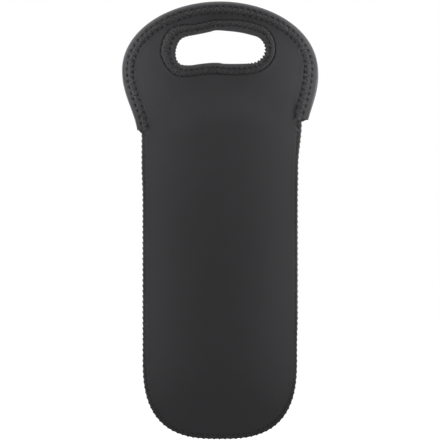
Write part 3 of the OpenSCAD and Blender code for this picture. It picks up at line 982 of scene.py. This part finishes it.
# Cells and fibres to a metre
FIBRE_SCALE, GRAIN_SCALE = 2600.0, 900.0


def material_maker(build):
    """Turns a function that fills a node tree into one that makes or finds a material by name."""

    def make(name, *details, **options):
        name = f"carrier_{name}"
        material = bpy.data.materials.get(name)
        if not material:
            material = bpy.data.materials.new(name)
            build(empty_tree(material), *details, **options)
        return material

    return make


def finish_cloth(tree, base, roughness, height, bump, gloss, sheen=(0.0, 0.5, None)):
    """The surface of a cloth. Its sheen is given as a weight, a roughness and a tint."""
    normal = tree.add("ShaderNodeBump", {"Strength": 1.0, "Distance": bump * MM, "Height": height})
    inputs = {"Base Color": base, "Roughness": roughness, "Normal": normal, "Specular IOR Level": gloss}
    inputs |= zip(("Sheen Weight", "Sheen Roughness", "Sheen Tint"), sheen)
    tree.add("ShaderNodeOutputMaterial", [tree.add("ShaderNodeBsdfPrincipled", inputs)])


def shade(tree, base, dark, light, factor):
    """A colour between a darker and a lighter shade of a base, by a factor."""
    dark, light = ((*(c * share for c in base), 1) for share in (dark, light))
    return tree.add("ShaderNodeMix", {0: factor, 6: dark, 7: light}, 2, data_type="RGBA")


def kept(tree, name):
    """The number that a piece keeps for each of its points."""
    return tree.add("ShaderNodeAttribute", output=2, attribute_name=name)


def darker(tree, yarn):
    """The colour of a yarn, with shade painted near black at its needle holes."""
    inputs = {0: kept(tree, "sunk") * 0.9, 6: yarn, 7: PAINTED_HOLE_SHADE_COLOUR}
    return tree.add("ShaderNodeMix", inputs, 2, data_type="RGBA")


def noise(tree, place, scale, detail, roughness=None):
    """Cloudy noise at a place, so many clouds to a unit of it."""
    inputs = {"Vector": place, "Scale": scale, "Detail": detail, "Roughness": roughness}
    return tree.add("ShaderNodeTexNoise", inputs)


@material_maker
def knit_material(tree, base, wale, course, across_first=False, relief=0.1, sheen=0.1, mottle=0.10):
    """Knitted jersey: columns of V-shaped stitches in the cloth's own coordinates, in millimetres."""
    cloth = tree.add("ShaderNodeUVMap", uv_map="cloth")
    drift = noise(tree, cloth, 0.07, 2.0)
    u = tree.add("ShaderNodeSeparateXYZ", [cloth])
    v = tree.output("Y")
    if across_first:
        u, v = v, u
    u = u + drift * 1.4
    side = ((u / wale).fraction() - 0.5).size() * 2
    leg = 1 - (side * 2 - 1) ** 2
    loop = ((v / course - side * 0.75) * (2 * math.pi)).cosine() * 0.5 + 0.5
    stitch = leg * (loop * 0.5 + 0.5)
    fuzz = noise(tree, cloth, 3.1, 4.0, 0.65)
    cloud = noise(tree, cloth, 0.035, 3.0)
    tone = stitch * 0.22 + fuzz * 0.28 + cloud * (2 * mottle) - mottle
    yarn = darker(tree, shade(tree, base, 0.74, 1.22, tone + 0.22))
    height = stitch * 0.7 + fuzz * 0.55
    finish_cloth(tree, yarn, 0.86 + fuzz * 0.1, height, relief, 0.22, (sheen, 0.42, SHEEN_TINT))


@material_maker
def thread_material(tree, base):
    """Two-ply thread: light along the plies and dark between them."""
    ply = (kept(tree, "twist") * 2).cosine() * 0.5 + 0.5
    fibre = noise(tree, tree.add("ShaderNodeTexCoord", output=3), FIBRE_SCALE, 3.0)
    yarn = darker(tree, shade(tree, base, 0.7, 1.25, ply * 0.35 + fibre * 0.6))
    finish_cloth(tree, yarn, 0.62 + fibre * 0.15, fibre, 0.08, 0.4, (0.2, 0.3, None))


@material_maker
def foam_material(tree, base):
    """Closed-cell foam: a dark, finely pitted cut."""
    place = tree.add("ShaderNodeTexCoord", output=3)
    inputs = {"Vector": place, "Scale": FIBRE_SCALE}
    cells = tree.add("ShaderNodeTexVoronoi", inputs, feature="DISTANCE_TO_EDGE")
    grain = noise(tree, place, GRAIN_SCALE, 3.0)
    colour = shade(tree, base, 0.6, 1.8, cells * 1.6 + grain * 0.3)
    finish_cloth(tree, colour, 0.9 + grain * 0.08, cells + grain * 0.4, 0.15, 0.2)


def fabrics(scene):
    """The carrier's materials, one for each cloth, the foam and each thread."""
    c = values(scene.carrier_colours)
    return SimpleNamespace(
        jersey=knit_material("jersey", c.jersey, c.wale, c.course),
        lining=knit_material("lining", c.lining, c.wale, c.course, sheen=0.08),
        foam=foam_material("foam", c.foam),
        tape=knit_material(
            "tape", c.tape, c.tape_wale, c.tape_course, across_first=True, relief=0.14, sheen=0.05, mottle=0.06
        ),
        thread=thread_material("thread", c.thread),
        seam_thread=thread_material("seam_thread", c.seam_thread),
    )


# ---- pieces

# How far the middle of a zigzag's thread aims above its tape
THREAD_LIFT = 0.75
# Steps of the thread in one leg of a stitch
ZIGZAG_STEPS, OVEREDGE_STEPS, LOCK_STEPS, TACK_STEPS = 10, 11, 6, 5
# The seeds of each panel's unevenness
SEEDS = {"front": 7, "back": 19}
# From the hinge line, where the bend into a handle flap starts and ends
BEND_ZONE = (-2, 22)


def hinge_zone(body):
    """Start and end of the stretch over which a panel bends into its handle flap."""
    joint = next(j for j in frame["joints"] if j["child"] == body)
    pivot = np.array(joint["pos_m"])
    axis = np.array(joint["axis"]) * (1 if joint["axis"][0] > 0 else -1)
    up = np.array([-axis[2], 0, axis[0]]) / math.hypot(axis[0], axis[2])
    return tuple(tuple(pivot + up * end * MM) for end in BEND_ZONE)


def join_to_frame(piece, which, nodes, bends=True):
    """The piece stands for its nodes, which are hidden, and is baked in place or rides on the pouch."""
    body = f"{which}_handle"
    if bends:
        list(hinge_zone(body))
        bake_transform(piece)
    else:
        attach(piece, "pouch")
    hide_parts(*nodes)


class CARRIER_OT_panels(bpy.types.Operator):
    """Make both panels, each in three layers from the bottom seam to the top of the arch"""

    bl_idname = "carrier.panels"
    bl_label = "Panels"

    def execute(self, context):
        form, cloth = Form(context.scene), fabrics(context.scene)
        cut = form.cut
        fine, fine_faces = panel_plan(form, True)
        plain, plain_faces = panel_plan(form, False)
        fine_spots, spots = form.locate(fine), form.locate(plain)
        # The foam's cut edge lies a little inside the jersey's
        core = plain + form.seam.pull(spots.seam_at, 0.1 * np.clip(1 - spots.seam_in / 3, 0, 1))
        (_, _, arch_edge), (_, _, grip_edge) = spots.tapes
        sunken = np.maximum(0.25 * spots.under_tape, 0.4 * (bell(arch_edge, 2) + bell(grip_edge, 2)))
        core_out = spots.outer - cut.jersey - cut.bond - 0.5 * bell(spots.seam_in, 1.6) - sunken
        # The two linings are pressed together at the seams
        pressed = (cut.seam_gap + 0.03) * np.clip(1 - spots.seam_in / 1.5, 0, 1)
        for which, side in SIDES.items():
            skin = fine_spots.outer + form.swell(fine_spots, SEEDS[which])
            layers = (
                ("face", "jersey", form.scallop(fine_spots), fine_faces, skin, skin - cut.jersey),
                ("foam", "foam", core, plain_faces, core_out, spots.gap + cut.jersey + cut.bond),
                ("lining", "lining", plain, plain_faces, spots.gap + cut.jersey, spots.gap - pressed),
            )
            for layer, slot, places, triangles, outer, inner in layers:
                name, material = f"{which}_panel_{layer}", getattr(cloth, slot)
                piece = layer_piece(name, places, triangles, outer, inner, side, material)
                if layer == "face":
                    # The outer jersey keeps painted shade at its needle holes
                    mark(piece, "sunk", np.concatenate([form.sunk(fine_spots), np.zeros(len(places))]))
                join_to_frame(piece, which, [f"{which}_pouch_{layer}", f"{which}_handle_{layer}"])
                area = flat_area(places, triangles)
                ["seam_overedge_thread"] if layer == "face" else [f"{which}_panel_face"]
                area * MM * MM
        return {"FINISHED"}


def flat_area(places, triangles):
    """The area of a flat net of triangles."""
    a, b, c = (places[triangles[:, k]] for k in range(3))
    one, two = b - a, c - a
    return abs(one[:, 0] * two[:, 1] - one[:, 1] * two[:, 0]).sum() / 2


class CARRIER_OT_tapes(bpy.types.Operator):
    """Make the folded knit tapes along the arches and round the hand holes"""

    bl_idname = "carrier.tapes"
    bl_label = "Tapes"

    def execute(self, context):
        form, cloth = Form(context.scene), fabrics(context.scene)
        for which, side in SIDES.items():
            for part, tape in form.tapes.items():
                piece = folded_tape(f"{which}_{part}_tape", tape, side, cloth.tape)
                join_to_frame(piece, which, [f"{which}_{part}_binding"])
        return {"FINISHED"}


def zigzag(tape, side, face, thick, first=0.0, count=None):
    """Path, offsets and stitches of a zigzag on one face of a folded tape, from a stitch on."""
    row = tape.row
    base = to_frame(row.line, 0, side)

    def at(inset, lift):
        places = tape.places(inset)
        return to_frame(places, tape.depth(places, tape.half(inset, face, False) + lift, face), side) - base

    reach = tape.inner_in - tape.outer_in
    low = -tape.form.sew.pit if face > 0 else -0.5 * tape.form.sew.pit
    offsets = (
        at(tape.outer_in, low),
        at(tape.outer_in + 0.2 * reach, THREAD_LIFT),
        at(tape.outer_in + 0.8 * reach, THREAD_LIFT),
        at(tape.inner_in + 0.1, low),
    )
    count = count or row.stitches
    ends = [np.abs(row.run / row.pitch - at_stitch).argmin() for at_stitch in (first, first + count)]
    part = slice(ends[0], ends[1] + 1)
    return base[part], tuple(offset[part] for offset in offsets), count, ZIGZAG_STEPS, thick


class CARRIER_OT_zigzags(bpy.types.Operator):
    """Sew the zigzags that hold the tapes, on both faces of each flap"""

    bl_idname = "carrier.zigzags"
    bl_label = "Zigzag stitches"

    def execute(self, context):
        form, cloth = Form(context.scene), fabrics(context.scene)
        thick = form.sew.thread
        for which, side in SIDES.items():
            for part, tape in form.tapes.items():
                threads = [zigzag(tape, side, 1, thick), zigzag(tape, side, -1, thick * 0.85)]
                if part == "arch":
                    back = round(form.sew.backtack / tape.row.pitch)
                    starts = (0.5, tape.row.stitches - back - 0.5)
                    threads += [zigzag(tape, side, 1, thick, start, back) for start in starts]
                piece = sew(f"{which}_{part}_thread", threads, cloth.thread)
                join_to_frame(piece, which, [f"{which}_{part}_stitching"])
        return {"FINISHED"}


class CARRIER_OT_overedge(bpy.types.Operator):
    """Sew the overedge stitch round both side seams and the bottom, and the bar tacks at the notches"""

    bl_idname = "carrier.overedge"
    bl_label = "Overedge stitch and bar tacks"

    def execute(self, context):
        form, cloth = Form(context.scene), fabrics(context.scene)
        track, sewing, stitches = form.seam, form.sew, form.seam_row.stitches
        base = to_frame(track.line, 0, 1)
        sideways = paired(-track.inward[:, 1], track.inward[:, 0])
        forward = 0.25 * sewing.seam_pitch

        def offset(side, inset, lift=None, depth=None, lean=0.0):
            """From the seam to a point of the thread, at a depth or a lift from the jersey."""
            places = track.moved(inset)
            if depth is None:
                depth = form.locate(places).outer + lift
            return to_frame(places + sideways * lean, depth, side) - base

        threads = []
        for side in SIDES.values():
            offsets = (
                offset(side, form.seam_reach, lift=-0.6),
                offset(side, 0.55 * form.seam_reach, lift=0.95, lean=forward * 0.3),
                offset(side, -0.95, depth=form.cut.seam_gap + form.panel + 0.2, lean=forward),
                offset(side, -0.30, depth=0.1, lean=forward),
            )
            threads.append((base, offsets, stitches, OVEREDGE_STEPS, sewing.seam_thread))
        # A second thread runs to and fro along the edge itself and locks the stitches
        lock_run = ((0.25, 0.9), (-0.1, 0.4), (-0.1, -0.4), (0.25, -0.9))
        locks = [offset(-1, inset, depth=depth) for inset, depth in lock_run]
        threads.append((base, locks, stitches, LOCK_STEPS, sewing.seam_thread))
        piece = sew("seam_overedge_thread", threads, cloth.seam_thread)
        join_to_frame(piece, "front", ["seam_overedge"], bends=False)

        tack_stitches, tack_thread = round(sewing.tack_width / sewing.tack_pitch), 0.7 * sewing.seam_thread
        for name, sign in (("left", -1), ("right", 1)):
            edge_x = form.cut.pouch_width / 2 + (form.cut.flare if sign > 0 else 0)
            x = sign * np.linspace(edge_x - sewing.tack_width, edge_x - 0.2, 24)
            high = paired(x, form.crease_h(x) - 0.6)
            low = high - [0, sewing.tack_height]
            run = ((high, -0.5), (mix(high, low, 0.2), 0.45), (mix(high, low, 0.8), 0.45), (low, -0.5))
            threads = []
            for side in SIDES.values():
                path = to_frame(high, 0, side)
                offsets = [to_frame(at, form.locate(at).outer + lift, side) - path for at, lift in run]
                threads.append((path, offsets, tack_stitches, TACK_STEPS, tack_thread))
            piece = sew(f"{name}_bar_tack_thread", threads, cloth.seam_thread)
            join_to_frame(piece, "front", [f"{name}_bar_tack"], bends=False)
        return {"FINISHED"}


# ---- studio

# Half the floor's width, and the middle of the picture, both in metres
FLOOR_HALF = 4.0
VIEW_MIDDLE = Vector((0.0001, 0, -0.1867))


def seen(tree, other):
    """1 for the camera's rays and those of one other kind, and 0 for the rest."""
    tree.add("ShaderNodeLightPath")
    return tree.output("Is Camera Ray").maximum(tree.output(other))


@material_maker
def lit_for_camera(tree, base, strength, share):
    """A pale surface that takes shadows, lifted to white for the camera and in reflections."""
    factor = seen(tree, "Is Glossy Ray")
    cloth = tree.add("ShaderNodeBsdfDiffuse", {"Color": (base, base, base, 1)})
    glow = tree.add("ShaderNodeEmission", {"Color": (1, 1, 1, 1), "Strength": strength})
    surface = tree.add("ShaderNodeMixShader", {0: factor * share, 1: cloth, 2: glow})
    tree.add("ShaderNodeOutputMaterial", [surface])


class CARRIER_OT_studio(bpy.types.Operator):
    """Set up the pale floor, the white room, the soft lights and the camera"""

    bl_idname = "carrier.studio"
    bl_label = "Studio"

    def execute(self, context):
        scene = context.scene
        studio = values(scene.carrier_studio)
        scene.view_settings.view_transform = "Standard"
        low = CAD_BOX[0].z - studio.floor_drop * MM
        points = [(x * FLOOR_HALF, y * FLOOR_HALF, low) for x, y in ((-1, -1), (1, -1), (1, 1), (-1, 1))]
        floor = make_piece("floor", points, [(0, 1, 2, 3)], None, lit_for_camera("floor", 0.7, 1.7, 0.6))

        scene.world = bpy.data.worlds.new("room")
        tree = empty_tree(scene.world)
        factor = seen(tree, "Is Transmission Ray")
        room, white = (
            tree.add("ShaderNodeBackground", {"Color": (1, 1, 1, 1), "Strength": strength})
            for strength in (studio.world, 1.0)
        )
        surface = tree.add("ShaderNodeMixShader", {0: factor, 1: room, 2: white})
        tree.add("ShaderNodeOutputWorld", [surface])

        # Each light's name, place, aim, width, height and power, its lengths in metres of the row frame
        lights = [("top", (0, 0, 0.2), (0, 0, 0), 0.3, 0.08, studio.top_light)]
        for name, sign, watts in (("left", -1, studio.left_light), ("right", 1, studio.right_light)):
            lights += [
                (name, (0.14 * sign, -0.01, -0.10), (0, -0.01, -0.10), 0.12, 0.52, watts),
                (f"{name}_handle", (0.13 * sign, -0.03, 0), (0, -0.01, 0), 0.06, 0.2, studio.handle_light),
            ]
        for name, sign in (("front", -1), ("back", 1)):
            lights.append((name, (0, 0.6 * sign, -0.32), (0, 0, -0.32), 0.4, 0.3, studio.level_light))
        for name, place, aim, width, height, watts in lights:
            lamp = bpy.data.lights.new(f"{name}_light", "AREA")
            lamp.shape, lamp.size, lamp.size_y, lamp.energy = "RECTANGLE", width, height, watts
            lamp_object = add_object(f"{name}_light", lamp)
            lamp_object.location = place
            lamp_object.rotation_euler = (Vector(aim) - Vector(place)).to_track_quat("-Z", "Y").to_euler()
            lamp_object.visible_camera = False

        data = bpy.data.cameras.new("camera")
        camera = add_object("camera", data)
        data.sensor_width, data.clip_end = 36, 50
        data.lens = data.sensor_width * studio.distance / studio.view
        camera.location = VIEW_MIDDLE + Vector((0, -studio.distance * MM, 0))
        camera.rotation_euler = (math.pi / 2, 0, 0)
        scene.camera = camera
        return {"FINISHED"}


class CARRIER_PT_panel(bpy.types.Panel):
    """The carrier's pieces and their sizes"""

    bl_label = "Soft bottle carrier"
    bl_idname = "CARRIER_PT_panel"
    bl_space_type = "VIEW_3D"
    bl_region_type = "UI"
    bl_category = "Carrier"

    def draw(self, context):
        layout = self.layout
        for operator in OPERATORS:
            layout.operator(operator.bl_idname)
        for name, group in GROUPS.items():
            box = layout.box()
            box.label(text=group.__doc__)
            for key in group.__annotations__:
                box.prop(getattr(context.scene, name), key)


GROUPS = {
    "carrier_cut": CarrierCut,
    "carrier_sewing": CarrierSewing,
    "carrier_colours": CarrierColours,
    "carrier_studio": CarrierStudio,
}
OPERATORS = (
    CARRIER_OT_studio,
    CARRIER_OT_panels,
    CARRIER_OT_tapes,
    CARRIER_OT_zigzags,
    CARRIER_OT_overedge,
)
CLASSES = (*GROUPS.values(), *OPERATORS, CARRIER_PT_panel)


def register():
    for made in CLASSES:
        bpy.utils.register_class(made)
    for name, group in GROUPS.items():
        setattr(bpy.types.Scene, name, bpy.props.PointerProperty(type=group))


def unregister():
    for name in GROUPS:
        delattr(bpy.types.Scene, name)
    for made in reversed(CLASSES):
        bpy.utils.unregister_class(made)


def main():
    register()
    carrier = bpy.ops.carrier
    for make in (carrier.studio, carrier.panels, carrier.tapes, carrier.zigzags, carrier.overedge):
        make()


if __name__ == "__main__":
    main()
